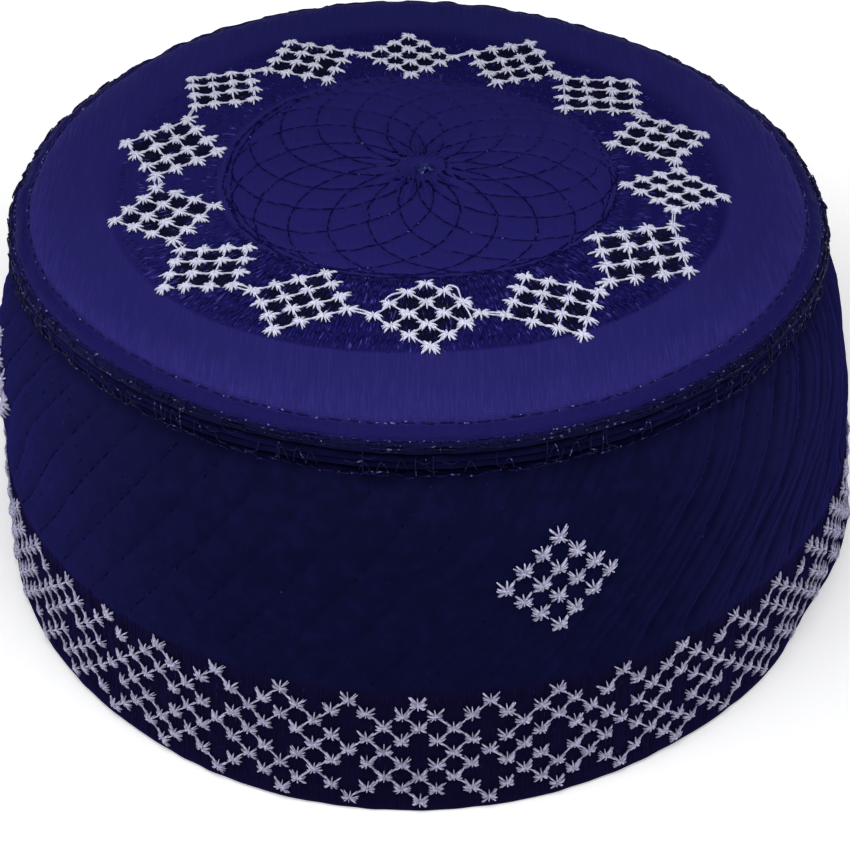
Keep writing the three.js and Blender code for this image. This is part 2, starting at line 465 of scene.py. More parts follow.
def add_ring(name, rows, material):
    """A closed ring from the rows of points that run round it."""
    quads = loop_quads(len(rows), len(rows[0]), True)
    return add_piece(name, np.concatenate(rows), quads, material)


# Sections of a thread, by shares of its width and height: one lies on cloth, one is free
LYING = np.array(((-0.5, -0.1), (-0.3, 0.85), (0.3, 0.85), (0.5, -0.1)))
FREE = np.array([(-0.5 * math.cos(turn), 0.5 * math.sin(turn)) for turn in np.arange(6) * math.pi / 3])
# Quads that close the end of a thread, by the number of corners of its section
THREAD_ENDS = {4: ((0, 1, 2, 3),), 6: ((0, 1, 2, 5), (5, 2, 3, 4))}


def strands(paths, ups, widths, heights, section=LYING):
    """Vertices and quads of threads along paths of shape (threads, points, 3)."""
    count, steps = paths.shape[:2]
    corners = len(section)
    along = np.gradient(paths, axis=1)
    sides = np.cross(along, ups)
    sides /= np.linalg.norm(sides, axis=-1, keepdims=True)
    ups = np.cross(sides, along)
    ups /= np.linalg.norm(ups, axis=-1, keepdims=True)
    widths = np.broadcast_to(widths, (count, steps))[..., None, None]
    heights = np.broadcast_to(heights, (count, steps))[..., None, None]
    across = section[:, 0][None, None, :, None] * widths * sides[:, :, None, :]
    above = section[:, 1][None, None, :, None] * heights * ups[:, :, None, :]
    vertices = paths[:, :, None, :] + across + above
    sleeve = np.roll(loop_quads(steps, corners, False), -1, 1)
    ends = np.array(THREAD_ENDS[corners])
    quads = np.concatenate((sleeve, ends[:, ::-1], ends + (steps - 1) * corners))
    offsets = (np.arange(count) * steps * corners)[:, None, None]
    return vertices.reshape(-1, 3), (quads + offsets).reshape(-1, 4)


def add_threads(name, parts, material):
    """One piece from the (vertices, quads) pairs of its threads."""
    starts = np.cumsum([0] + [len(vertices) for vertices, _ in parts])
    vertices = np.concatenate([part[0] for part in parts])
    quads = np.concatenate([part[1] + start for part, start in zip(parts, starts)])
    return add_piece(name, vertices, quads, material)


def mark(piece, name, values):
    """Stores a number with each point of a piece, for its material."""
    numbers = piece.data.attributes.new(name, "FLOAT", "POINT")
    numbers.data.foreach_set("value", values.astype(np.float32).ravel())


def laid(surface, first, second, lifts, widths, heights):
    """Threads laid on a surface: first and second are its two coordinates along each thread."""
    lifts = np.broadcast_to(lifts, first.shape)
    paths = surface(first, second, lifts)
    ups = surface(first, second, lifts + 1) - paths
    return strands(paths, ups, widths, heights)


# Materials

class Nodes:
    """The nodes of one material. A value is a number, a colour, a place or another node's socket."""

    def __init__(self, name):
        self.material = bpy.data.materials.new(name)
        self.material.use_nodes = True
        self.tree = self.material.node_tree
        self.tree.nodes.clear()
        output = self.tree.nodes.new("ShaderNodeOutputMaterial")
        self.shader = self.tree.nodes.new("ShaderNodeBsdfPrincipled")
        self.put(self.shader.outputs["BSDF"], output.inputs["Surface"])

    def put(self, value, socket):
        """Links a socket to another one, or gives it a value of its own."""
        if isinstance(value, bpy.types.NodeSocket):
            self.tree.links.new(value, socket)
        elif socket.type == "RGBA":
            socket.default_value = (*value, 1.0)
        else:
            socket.default_value = value

    def add(self, kind, output, inputs, **settings):
        """Adds a node with some of its inputs, and returns one of its outputs."""
        node = self.tree.nodes.new("ShaderNode" + kind)
        for name, value in settings.items():
            setattr(node, name, value)
        for place, value in inputs.items():
            self.put(value, node.inputs[place])
        return node.outputs[output]

    def vector(self, operation, *values, output="Vector"):
        return self.add("VectorMath", output, dict(enumerate(values)), operation=operation)

    def math(self, operation, *values):
        return self.add("Math", "Value", dict(enumerate(values)), operation=operation)

    def times(self, first, second):
        return self.math("MULTIPLY", first, second)

    def plus(self, first, second):
        return self.math("ADD", first, second)

    def position(self):
        """Place on the object, in millimetres from the cap's axis."""
        metres = self.add("TexCoord", "Object", {})
        return self.vector("MULTIPLY_ADD", metres, (1 / MM,) * 3, tuple(-AXIS / MM))

    def split(self, vector):
        return [self.add("SeparateXYZ", axis, {0: vector}) for axis in "XYZ"]

    def noise(self, vector, scale, detail=2.0, roughness=0.5):
        inputs = {"Vector": vector, "Scale": scale, "Detail": detail, "Roughness": roughness}
        return self.add("TexNoise", "Fac", inputs)

    def span(self, value, low, high, new_low=0.0, new_high=1.0):
        """Eased step between two values."""
        inputs = dict(enumerate((value, low, high, new_low, new_high)))
        return self.add("MapRange", "Result", inputs, interpolation_type="SMOOTHSTEP")

    def mix(self, base, *layers):
        """Covers a base with colours, each by its share."""
        for share, tone in layers:
            base = self.add("Mix", 2, {0: share, 6: base, 7: tone}, data_type="RGBA")
        return base

    def attribute(self, name):
        return self.add("Attribute", "Fac", {}, attribute_name=name)

    def bump(self, height, strength, distance):
        return self.add("Bump", "Normal", {"Strength": strength, "Distance": distance, "Height": height})

    def set(self, **values):
        """Sets or links the shader's own sockets."""
        for name, value in values.items():
            self.put(value, self.shader.inputs[name.replace("_", " ")])


def round_cap(nodes):
    """Turn in radians, height and distance from the axis, from the place on the object."""
    x, y, z = nodes.split(nodes.position())
    turn = nodes.math("ARCTAN2", x, nodes.times(y, -1.0))
    radius = nodes.math("SQRT", nodes.plus(nodes.times(x, x), nodes.times(y, y)))
    return turn, z, radius


def yarns(nodes, value, frequency):
    """Rounded yarns side by side: 1 on top of each, 0 between two."""
    return nodes.math("ABSOLUTE", nodes.math("SINE", nodes.times(value, frequency)))


# Yarns of the cloths: radians of their wave to a radian round the cap, or to a millimetre
SIDE_WARP = 820.0
SIDE_WEFT = 8.2
CROWN_WARP = 5.2
CROWN_WEFT = 7.0
CLOTH_BUMP = 0.00012
THREAD_BUMP = 0.00015


def side_cloth_material():
    """Matt cotton: painted sheen lightens it towards both sides, painted shade darkens its quilted rows."""
    nodes = Nodes("side_cotton")
    turn, height, _ = round_cap(nodes)
    place = nodes.position()
    weave = nodes.math("MAXIMUM", yarns(nodes, turn, SIDE_WARP), yarns(nodes, height, SIDE_WEFT))
    fuzz = nodes.noise(place, 5.0, 3.0, 0.7)
    cloudy = nodes.span(nodes.noise(place, 0.3, 4.0, 0.6), 0.35, 0.75)
    # Painted sheen: lighter tone towards both sides of the cap
    sides = nodes.span(nodes.math("ABSOLUTE", turn), 0.35, 1.0, 0.0, 0.5)
    row_rise = FINE_ROWS / math.tan(math.radians(QUILT_SLOPE)) / RIM_RADIUS
    row = nodes.math("SUBTRACT", nodes.times(turn, float(FINE_ROWS)), nodes.times(height, row_rise))
    row = nodes.plus(row, BORDER_HEIGHT * row_rise)
    # Painted shade in the valleys between the quilted rows, stronger towards the right
    painted_valley_shade = nodes.span(nodes.math("COSINE", row), 0.0, 1.0)
    painted_valley_shade = nodes.times(painted_valley_shade, nodes.span(turn, -0.2, 0.7, 0.1, 0.42))
    painted_valley_shade = nodes.times(painted_valley_shade, nodes.span(nodes.noise(place, 0.09), 0.35, 0.65, 0.2, 1.0))
    border = nodes.span(height, BORDER_HEIGHT + 0.4, BORDER_HEIGHT - 0.4, 0.0, 0.9)
    # Painted glints: sparse lighter specks on the cloth
    painted_glint_specks = nodes.span(nodes.noise(place, 2.1, 1.0), 0.76, 0.80, 0.0, 0.3)
    base = nodes.mix(
        (0.0036, 0.0047, 0.023),
        (nodes.noise(place, 0.035, 3.0), (0.0052, 0.0060, 0.034)),
        (cloudy, (0.0065, 0.0068, 0.043)),
        (sides, (0.0125, 0.0122, 0.080)),
        (painted_valley_shade, (0.0028, 0.0030, 0.018)),
        (border, (0.0064, 0.0046, 0.026)),
        (painted_glint_specks, (0.05, 0.05, 0.18)),
    )
    nodes.set(Base_Color=base, Roughness=nodes.span(fuzz, 0.2, 0.8, 0.6, 0.82), Specular_IOR_Level=0.0)
    nodes.set(Sheen_Weight=0.1, Sheen_Roughness=0.35, Sheen_Tint=(0.12, 0.09, 0.9))
    relief = nodes.plus(nodes.times(weave, 0.6), nodes.times(fuzz, 0.8))
    nodes.set(Normal=nodes.bump(relief, 0.35, CLOTH_BUMP))
    return nodes.material


def crown_cloth_material():
    """Fine poplin: darker under the fill and in the lozenges' ground, with painted shade at the back, on the
    fold, under the roll and between the lozenges' stars, and painted highlights on the roll's ribs.
    """
    nodes = Nodes("crown_poplin")
    place = nodes.position()
    x, y, _ = nodes.split(place)
    across = nodes.attribute("across")
    weft = yarns(nodes, y, CROWN_WEFT)
    weave = nodes.plus(nodes.times(yarns(nodes, x, CROWN_WARP), 0.8), nodes.times(weft, 0.3))
    slub = nodes.noise(nodes.vector("MULTIPLY", place, (3.0, 0.12, 1.0)), 1.0, 3.0, 0.6)
    fuzz = nodes.noise(place, 6.0, 3.0, 0.7)
    # Painted shade: darker towards the back of the top
    painted_back_shade = nodes.span(y, 35.0, 85.0, 0.0, 0.45)
    inner = nodes.span(across, FILL_INNER, FILL_INNER - 1.5, 0.0, 0.6)
    within = nodes.span(across, FILL_INNER - 0.8, FILL_INNER + 1.2)
    soft = nodes.span(y, -25.0, 15.0, 0.5, 4.0)
    outside = nodes.math("SUBTRACT", FILL_OUTER, soft)
    outside = nodes.span(across, nodes.plus(FILL_OUTER, soft), outside)
    fill = nodes.times(nodes.times(within, outside), nodes.span(x, -60.0, -15.0, 0.45, 0.9))
    rolled = nodes.span(across, ROLL_HATCH - 4, ROLL_HATCH + 4)
    # Ribs of the weave on the roll, with their tops painted lighter as highlights
    hatch_ribs_and_painted_highlight = nodes.times(rolled, nodes.times(weft, nodes.span(slub, 0.3, 0.7)))
    # Painted shade where the top turns down over its roll
    painted_fold_shade = nodes.span(across, TOPSTITCH_ACROSS - 1.5, TOPSTITCH_ACROSS + 1.5, 0.0, 0.8)
    # Painted shade under the roll next to the seam, less of it towards the left
    painted_under_roll_shade = nodes.span(across, EDGESTITCH_ACROSS - 0.3, EDGESTITCH_ACROSS + 1.1)
    painted_under_roll_shade = nodes.times(painted_under_roll_shade, nodes.span(x, -72.0, -38.0, 0.4, 0.92))
    base = nodes.mix(
        (0.0150, 0.0135, 0.112),
        (nodes.noise(place, 0.03, 3.0), (0.0205, 0.0175, 0.138)),
        (nodes.span(slub, 0.45, 0.8), (0.0250, 0.0220, 0.158)),
        (painted_back_shade, (0.0075, 0.0105, 0.068)),
        (inner, (0.0135, 0.0115, 0.112)),
        (fill, (0.0068, 0.0058, 0.078)),
        # Dark ground of the lozenges, with painted shade between the stars
        (nodes.attribute("ground_and_shade"), (0.0040, 0.0036, 0.020)),
        (nodes.times(hatch_ribs_and_painted_highlight, 0.42), (0.042, 0.034, 0.24)),
        (painted_fold_shade, (0.0070, 0.0058, 0.070)),
        (painted_under_roll_shade, (0.0030, 0.0032, 0.024)),
    )
    nodes.set(Base_Color=base, Roughness=nodes.span(fuzz, 0.2, 0.8, 0.55, 0.75), Specular_IOR_Level=0.03)
    nodes.set(Sheen_Weight=0.02, Sheen_Roughness=0.4, Sheen_Tint=(0.3, 0.25, 0.9))
    relief = nodes.plus(nodes.plus(weave, nodes.times(fuzz, 0.5)), nodes.times(hatch_ribs_and_painted_highlight, 1.6))
    nodes.set(Normal=nodes.bump(relief, 0.3, CLOTH_BUMP))
    return nodes.material


# Threads: dark and light tone, roughness, specular level, tone and share of the painted glints
THREADS = {
    "white_thread": ((0.55, 0.56, 0.71), (0.76, 0.77, 0.95), 0.6, 0.2, None, 0),
    # The white thread again, in a darker copy for the side's stars and links: painted shade
    "white_thread_painted_shade": ((0.28, 0.27, 0.4), (0.68, 0.67, 0.9), 0.65, 0.1, None, 0),
    # The rosette's dark navy thread, its tone darkened further as painted shade of the sunk lines
    "rosette_thread_and_shade": ((0.0022, 0.0012, 0.034), (0.0052, 0.0032, 0.062), 0.5, 0.05, (0.1, 0.1, 0.42), 0.08),
    "quilting_thread": ((0.0018, 0.0019, 0.018), (0.0052, 0.0052, 0.042), 0.6, 0, (0.045, 0.045, 0.18), 0.12),
    "border_thread": ((0.0054, 0.004, 0.024), (0.0078, 0.0058, 0.033), 0.6, 0, (0.02, 0.018, 0.075), 0.1),
    "fill_thread": ((0.003, 0.0024, 0.048), (0.015, 0.013, 0.14), 0.42, 0.06, (0.05, 0.046, 0.28), 0.31),
    "seam_thread": ((0.0022, 0.0016, 0.032), (0.008, 0.0066, 0.08), 0.4, 0.08, (0.14, 0.14, 0.38), 0.3),
    "overlock_thread": ((0.0018, 0.002, 0.018), (0.0085, 0.009, 0.056), 0.45, 0.04, (0.11, 0.11, 0.26), 0.28),
    "knot_thread": ((0.006, 0.007, 0.075), (0.015, 0.02, 0.14), 0.4, 0.15, (0.1, 0.15, 0.42), 0.35),
}
GRAINED = ("border_thread", "fill_thread")
GROUND_AND_SHADE_TONE = (0.0046, 0.0042, 0.028)


def thread_material(name):
    """Twisted thread: strand to strand changes of colour, a fine ply and a few painted glints.

    Threads of the two fills differ from one to the next, along a grain that runs upward or outward.
    """
    dark, light, roughness, specular, glint, glint_share = THREADS[name]
    nodes = Nodes(name)
    place = nodes.position()
    fibre = nodes.noise(place, 5.0, 2.0, 0.7)
    cells = 1.6
    edges = (0.3, 0.7)
    if name in GRAINED:
        turn, height, radius = round_cap(nodes)
        level, reach = {"border_thread": (height, RIM_RADIUS), "fill_thread": (radius, FILL_OUTER)}[name]
        place = nodes.add("CombineXYZ", 0, {0: nodes.times(turn, reach), 1: nodes.times(level, 0.35)})
        cells = 1.9
        edges = (0.4, 0.6)
    base = nodes.mix(dark, (nodes.span(nodes.noise(place, cells, 2.0, 0.6), *edges), light))
    if name == "fill_thread":
        # Dark ground of the lozenges, with painted shade between the stars
        base = nodes.mix(base, (nodes.attribute("ground_and_shade"), GROUND_AND_SHADE_TONE))
    # Painted glints: small bright bits along the thread
    if glint is not None:
        spots = nodes.noise(nodes.vector("ADD", place, (31.0, 17.0, 5.0)), 1.3, 1.0)
        edge = 0.72 - 0.3 * glint_share
        base = nodes.mix(base, (nodes.span(spots, edge, edge + 0.05), glint))
    worn = nodes.span(fibre, 0.2, 0.8, roughness - 0.08, roughness + 0.12)
    nodes.set(Base_Color=base, Roughness=worn, Specular_IOR_Level=specular)
    nodes.set(Normal=nodes.bump(fibre, 0.4, THREAD_BUMP))
    return nodes.material


MATERIALS = {name: thread_material(name) for name in THREADS}
MATERIALS["side_cotton"] = side_cloth_material()
MATERIALS["crown_poplin"] = crown_cloth_material()


# Side of the cap

COLUMNS_PER_FINE_ROW = 7
LOWEST = 0.02


def side_cloth():
    """Quilted side as one closed wall, with columns that follow the quilted rows."""
    columns = FINE_ROWS * COLUMNS_PER_FINE_ROW
    turns = np.arange(columns) * 360 / columns

    def row(height, out, flattened=0.0):
        level = np.full(columns, height)
        sheared = turns + shear(level)
        points = side_at(sheared, level, out - flattened * side_relief(sheared, level))
        points[:, 2] = np.maximum(points[:, 2], LOWEST)
        return points

    border = np.linspace(3.5, BORDER_HEIGHT, 13)
    quilted = np.linspace(BORDER_HEIGHT + 1.1, SIDESTITCH_HEIGHT - 1.6, 37)
    seam = SIDESTITCH_HEIGHT + np.array((-0.8, 0, 0.6))
    rows = [row(height, 0.0) for height in np.concatenate(((0.25, 0.9, 2.0), border, quilted, seam))]
    rows += [row(BAND_HEIGHT - 0.1, out) for out in (-0.7, -1.7)]
    rows += [row(height, -BAND_WALL, 0.5) for height in (71.5, 60, 45, 30, 15, 3.0, 0.9)]
    rows += [row(0.0, out) for out in (0.6 - BAND_WALL, -0.5)]
    piece = add_ring("side_cloth", rows, "side_cotton")
    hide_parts("side_band")


def quilting():
    """Sunk running stitches along every quilted row."""
    rng = np.random.default_rng(31)
    rise = STITCH_LENGTH * math.sin(math.radians(QUILT_SLOPE))
    first = BORDER_HEIGHT + 0.8
    per_row = int((SIDESTITCH_HEIGHT - 1 - first) / rise)
    row, index = np.meshgrid(np.arange(FINE_ROWS), np.arange(per_row), indexing="ij")
    row = row.reshape(-1, 1)
    count = row.shape
    start = first + (index.reshape(-1, 1) + rng.uniform(-0.12, 0.12, count)) * rise
    heights = start + rise * rng.uniform(0.5, 0.9, count) * STITCH_STEPS
    turns = (row + rng.normal(0, 0.05, count) / fine_pitch) * fine_turn + shear(heights)
    thick = rng.uniform(0.26, 0.4, count)
    right = ease((turns - 12) / 20) * ease((150 - turns) / 20)
    sunk = 0.2 * (1 - stretched(turns)) + 0.1 * right + rng.uniform(0, 0.16, count)
    sunk = sunk + np.where(row % ROWS_PER_BOLD == 0, 0, 0.13)
    lifts = np.array((-0.14, 0.02, -0.14)) - sunk
    keep = rng.uniform(0, 1, len(row)) < 0.74
    part = laid(side_at, turns[keep], heights[keep], lifts[keep], thick[keep], 0.26)
    add_threads("quilting_stitches", [part], "quilting_thread")


# Stars

STAR_ARMS = (
    # across and up, as shares of the way to the middle between two stars; strands; degrees between
    (0.96, 0.98, 2, 8),
    (-0.96, 0.98, 2, 8),
    (-0.82, -0.84, 2, 13),
    (0.82, -0.84, 2, 13),
    (1.04, 0, 2, 20),
    (0, 1.16, 1, 0),
    (-1.04, 0, 2, 20),
    (0, -1.10, 1, 0),
)
STAR_STEPS = np.array((-0.05, 0.35, 0.75, 1.0))
STAR_LIFTS = np.array((0.14, 0.24, 0.14, 0.02))
STAR_WIDTHS = np.array((0.32, 0.32, 0.30, 0.17))
STAR_HEIGHTS = np.array((0.34, 0.40, 0.34, 0.16))
STAR_LIFT = 0.15


def stars(surface, chart, x, y, reach_x, reach_y, linked, bulk, rng):
    """Threads of many stars, from their places in a flat chart that leads to the surface's own.

    The long arms end half-way to the diagonal neighbours, reach_x and reach_y away.
    linked has a column for each long arm: True where it meets a neighbour's.
    """
    threads = []
    count = len(x)
    spin = rng.normal(0, 3.0, count)
    full = rng.uniform(0.86, 1.16, count)[:, None]
    for arm, (across, up, number, spread) in enumerate(STAR_ARMS):
        long = arm < 4
        for strand in range(number):
            side = (strand - (number - 1) / 2) * spread
            turn = np.radians(spin + side + rng.normal(0, 4.5, count))
            if long:
                reach = np.where(linked[:, arm], 1.0, 1.06) * rng.uniform(0.84, 1.14, count)
            else:
                reach = rng.uniform(0.72, 1.1, count)
            dx = across * reach_x * reach
            dy = up * reach_y * reach
            end_x = dx * np.cos(turn) - dy * np.sin(turn)
            end_y = dx * np.sin(turn) + dy * np.cos(turn)
            raised = rng.uniform(0.8, 1.2, count)[:, None] * STAR_LIFTS
            thick = full * rng.uniform(0.86, 1.12, count)[:, None]
            threads.append((
                x[:, None] + end_x[:, None] * STAR_STEPS,
                y[:, None] + end_y[:, None] * STAR_STEPS,
                raised + 0.03 * arm * np.array((1, 0.8, 0.3, 0)) + STAR_LIFT,
                bulk * (thick * STAR_WIDTHS * (1 if long else 1.1)),
                thick * STAR_HEIGHTS,
            ))
    xs, ys, lifts, widths, heights = [np.concatenate(values) for values in zip(*threads)]
    return laid(surface, *chart(xs, ys), lifts, widths, heights)


def star_links(x, y, linked, step_x, step_y, share, begin, rng):
    """Links up to the right, then up to the left, from a share of the stars with a neighbour there."""
    steps = np.linspace(begin, 1 - begin, 4)
    for arm, side in enumerate((1, -1)):
        chosen = linked[:, arm] & (rng.uniform(0, 1, len(x)) < share)
        yield x[chosen, None] + side * step_x * steps, y[chosen, None] + step_y * steps


def border_stars():
    """Chart places of the border's stars and which neighbours each one touches."""
    places = [
        (column, row)
        for column in range(BORDER_COLUMNS)
        for row in BORDER_ROWS_BY_COLUMN[column % len(BORDER_ROWS_BY_COLUMN)]
    ]
    taken = set(places)
    steps = ((1, -1), (-1, -1), (-1, 1), (1, 1))
    linked = [
        [((column + step) % BORDER_COLUMNS, row + fall) in taken for step, fall in steps]
        for column, row in places
    ]
    return np.array(places), np.array(linked)


def border():
    """White stars and links along the rim."""
    rng = np.random.default_rng(41)
    stars_at, linked = border_stars()
    column_turn = 360 / BORDER_COLUMNS
    millimetres = math.radians(1) * (RIM_RADIUS - 2)
    half_x = column_turn * millimetres / 2
    turn = BORDER_START + stars_at[:, 0] * column_turn
    height = BORDER_FOOT + (BORDER_LAST_ROW - stars_at[:, 1]) * BORDER_ROW
    x = turn * millimetres + rng.normal(0, 0.1, len(turn))
    y = height + rng.normal(0, 0.08, len(turn))

    def chart(x, y):
        return x / millimetres, np.maximum(y, BORDER_LOWEST)

    arms = (BORDER_ARMS * half_x, BORDER_ARMS * BORDER_ROW / 2)
    upper = stars_at[:, 1] <= 4
    for name, chosen in (("border_stars_lower", ~upper), ("border_stars_upper", upper)):
        part = stars(side_at, chart, x[chosen], y[chosen], *arms, linked[chosen], BORDER_THINNED, rng)
        add_threads(name, [part], "white_thread_painted_shade")
    links = []
    for xs, ys in star_links(x, y, linked, 2 * half_x, BORDER_ROW, 0.75, 0.15, rng):
        ys = ys + rng.normal(0, 0.16, (len(ys), 1)) * np.array((0, 1, 1, 0))
        links.append(laid(side_at, *chart(xs, ys), np.array((0.2, 0.3, 0.3, 0.2)), 0.25, 0.24))
    add_threads("border_links", links, "white_thread_painted_shade")


def aside(turn):
    """0 at the front, 1 at the sides and back."""
    return ease((np.abs(wrap(turn)) - 35) / 45)


def satin(rng, count, low, high, lengths, ragged, loosened, lean, thick):
    """Turns, levels and widths of a fill's stitches, in tiers, more ragged aside where loosened."""
    column, tier = np.meshgrid(np.arange(count), np.arange(FILL_TIERS), indexing="ij")
    column = column.reshape(-1, 1)
    tier = tier.reshape(-1, 1)
    turn = (column + 0.5 * (tier % 2) + rng.uniform(-0.3, 0.3, tier.shape)) * 360 / count
    length = (high - low) / FILL_TIERS
    start = low + (tier + rng.uniform(-0.12, 0.12, tier.shape)) * length
    end = start + length * rng.uniform(*lengths, tier.shape)
    end = np.minimum(end, high + (1 + loosened * aside(turn)) * rng.uniform(*ragged, tier.shape))
    turns = turn + rng.normal(0, lean, tier.shape) * (STITCH_STEPS - 0.5)
    return turns, start + (end - start) * STITCH_STEPS, rng.uniform(*thick, tier.shape)


def border_fill():
    """Upright satin stitches of the same navy that fill the border between the stars."""
    rng = np.random.default_rng(43)
    stitches = satin(rng, 640, 1.3, BORDER_HEIGHT, (0.86, 1.06), (-0.9, 0.5), 0, 0.12, (0.34, 0.6))
    turns, heights, thick = stitches
    lifts = np.array((-0.1, 0.0, -0.1)) - rng.uniform(0, 0.12, thick.shape)
    add_threads("border_fill", [laid(side_at, turns, heights, lifts, thick, 0.2)], "border_thread")


# Top of the cap

def lozenge_place(index):
    """Turn of one lozenge of the ring in radians, then its row of LOZENGE_SHIFTS."""
    uneven = next((row[1:] for row in LOZENGE_SHIFTS if row[0] == index), (0, 0, 1, 1))
    return math.radians(RING_TURN + 360 / RING_COUNT * index), *uneven


def on_ring(index, across, up):
    """Flat places on the top for places in one lozenge of the ring."""
    turn, shift, out, wide, long = lozenge_place(index)
    onward = shift + wide * across
    outward = RING_RADIUS + out - long * up
    x = outward * math.sin(turn) + onward * math.cos(turn)
    y = -outward * math.cos(turn) + onward * math.sin(turn)
    return x, y


def mark_ground_and_shade(piece, turn, across):
    """Marks with 1 the points inside the white lozenges, where the ground shows dark with painted shade
    between the stars.
    """
    x, y = flat(turn, across)
    share = np.zeros_like(x)
    for index in range(RING_COUNT):
        heading, shift, out, wide, long = lozenge_place(index)
        onward = x * math.cos(heading) + y * math.sin(heading) - shift
        outward = x * math.sin(heading) - y * math.cos(heading) - RING_RADIUS - out
        reach = np.abs(onward) / wide + np.abs(outward) / long
        share = np.maximum(share, ease((RING_HALF + 0.4 - reach) / 1.6))
    mark(piece, "ground_and_shade", share)


def crown_cloth():
    """Top panel with its rolled edge, as one closed shell."""
    columns = 448
    turns = np.arange(columns) * 360 / columns
    edge = roll_start + ROLL_WIDTH * roll_end
    over = (np.linspace(0.8, 40.6, 62), np.linspace(41.4, 69, 26), np.linspace(69.8, edge, 24))
    over = np.concatenate(over)
    under = np.concatenate((np.linspace(edge - 0.2, roll_start, 9), (55, 40, 25, 10, 0.8)))
    rows = [crown_at(turns, np.full(columns, across), 0.0) for across in over]
    for across in under:
        level = np.full(columns, across)
        rows.append(crown_at(turns, level, -CROWN_WALL + 0.1 - crown_relief(turns, level)))
    top_pole = len(rows) * columns
    quads = loop_quads(len(rows), columns, False)[:, ::-1]
    middle = np.zeros(1)
    rows.append(crown_at(middle, middle, 0.0))
    rows.append(crown_at(middle, middle, -CROWN_WALL - crown_relief(middle, middle)))
    column = np.arange(columns)
    beside = (column + 1) % columns
    last = top_pole - columns
    fans = np.concatenate((
        np.stack((column, beside, np.full(columns, top_pole)), -1),
        np.stack((last + beside, last + column, np.full(columns, top_pole + 1)), -1),
    ))
    piece = add_piece("crown_cloth", np.concatenate(rows), quads, "crown_poplin", fans)
    levels = np.concatenate((np.repeat(np.concatenate((over, under)), columns), (0, 0)))
    mark(piece, "across", levels)
    mark_ground_and_shade(piece, np.concatenate((np.tile(turns, len(rows) - 2), (0, 0))), levels)
    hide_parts("crown_top")


def rosette():
    """Running stitches of the rosette: circles through its middle, a gathered ring and a double edge."""
    rng = np.random.default_rng(51)

    def ring(middle, radius, start):
        count = int(2 * math.pi * radius / STITCH_LENGTH)
        begin = (np.arange(count) + rng.uniform(-0.08, 0.08, count)) / count
        long = rng.uniform(0.84, 0.95, count) / count
        angle = 2 * math.pi * (begin[:, None] + long[:, None] * STITCH_STEPS) + start
        wander = radius + rng.normal(0, 0.12, (count, 1))
        x = middle[0] + wander * np.cos(angle)
        y = middle[1] + wander * np.sin(angle)
        keep = apart(x, y, ROSETTE_MIDDLE).min(1) > 4.2
        keep = keep & (rng.uniform(0, 1, count) < 0.97)
        thick = rng.uniform(0.32, 0.46, (count, 1))
        sunk = rng.uniform(0, 0.06, (count, 1)) + 0.17 * ease((y + 0.4 * x - 2) / 30)
        lifts = np.array((-0.12, 0.05, -0.12)) - sunk
        return laid(crown_flat, x[keep], y[keep], lifts[keep], thick[keep], 0.26)

    parts = [ring(middle, ROSETTE_REACH, rng.uniform(0, 1)) for middle in rosette_middles()]
    parts += [ring(ROSETTE_MIDDLE, edge, 0.0) for edge in (GATHER_RADIUS, *ROSETTE_EDGES)]
    add_threads("rosette_stitches", parts, "rosette_thread_and_shade")


def ring_fill():
    """Satin stitches that run outwards and fill the ring behind the white lozenges."""
    rng = np.random.default_rng(53)
    stitches = satin(rng, 600, FILL_INNER, FILL_OUTER, (0.84, 1.08), (-0.5, 0.35), 4, 0.5, (0.26, 0.46))
    turns, across, thick = stitches
    lifts = np.array((-0.1, 0.05, -0.1)) - 0.2 * aside(turns[:, 1:2])
    piece = add_threads("ring_fill", [laid(crown_at, turns, across, lifts, thick, 0.26)], "fill_thread")
    mark_ground_and_shade(piece, np.repeat(turns.ravel(), len(LYING)), np.repeat(across.ravel(), len(LYING)))


def rounded(points, count):
    """A line through a few points, with its corners softened: one array for each coordinate."""
    steps = np.linspace(0, len(points) - 1, count)
    lines = [np.interp(steps, range(len(points)), values) for values in zip(*points)]
    return [np.convolve(np.pad(values, 1, "edge"), (0.25, 0.5, 0.25), "valid") for values in lines]


def lozenge_chart():
    """Stars of a lozenge, in halves of the pitch from its middle, and which arms are linked."""
    last = LOZENGE_SIDE - 1
    pairs = [(first, second) for first in range(LOZENGE_SIDE) for second in range(LOZENGE_SIDE)]
    places = [(first - second, last - first - second) for first, second in pairs]
    linked = [(second > 0, first > 0, second < last, first < last) for first, second in pairs]
    return np.array(places, dtype=float), np.array(linked)


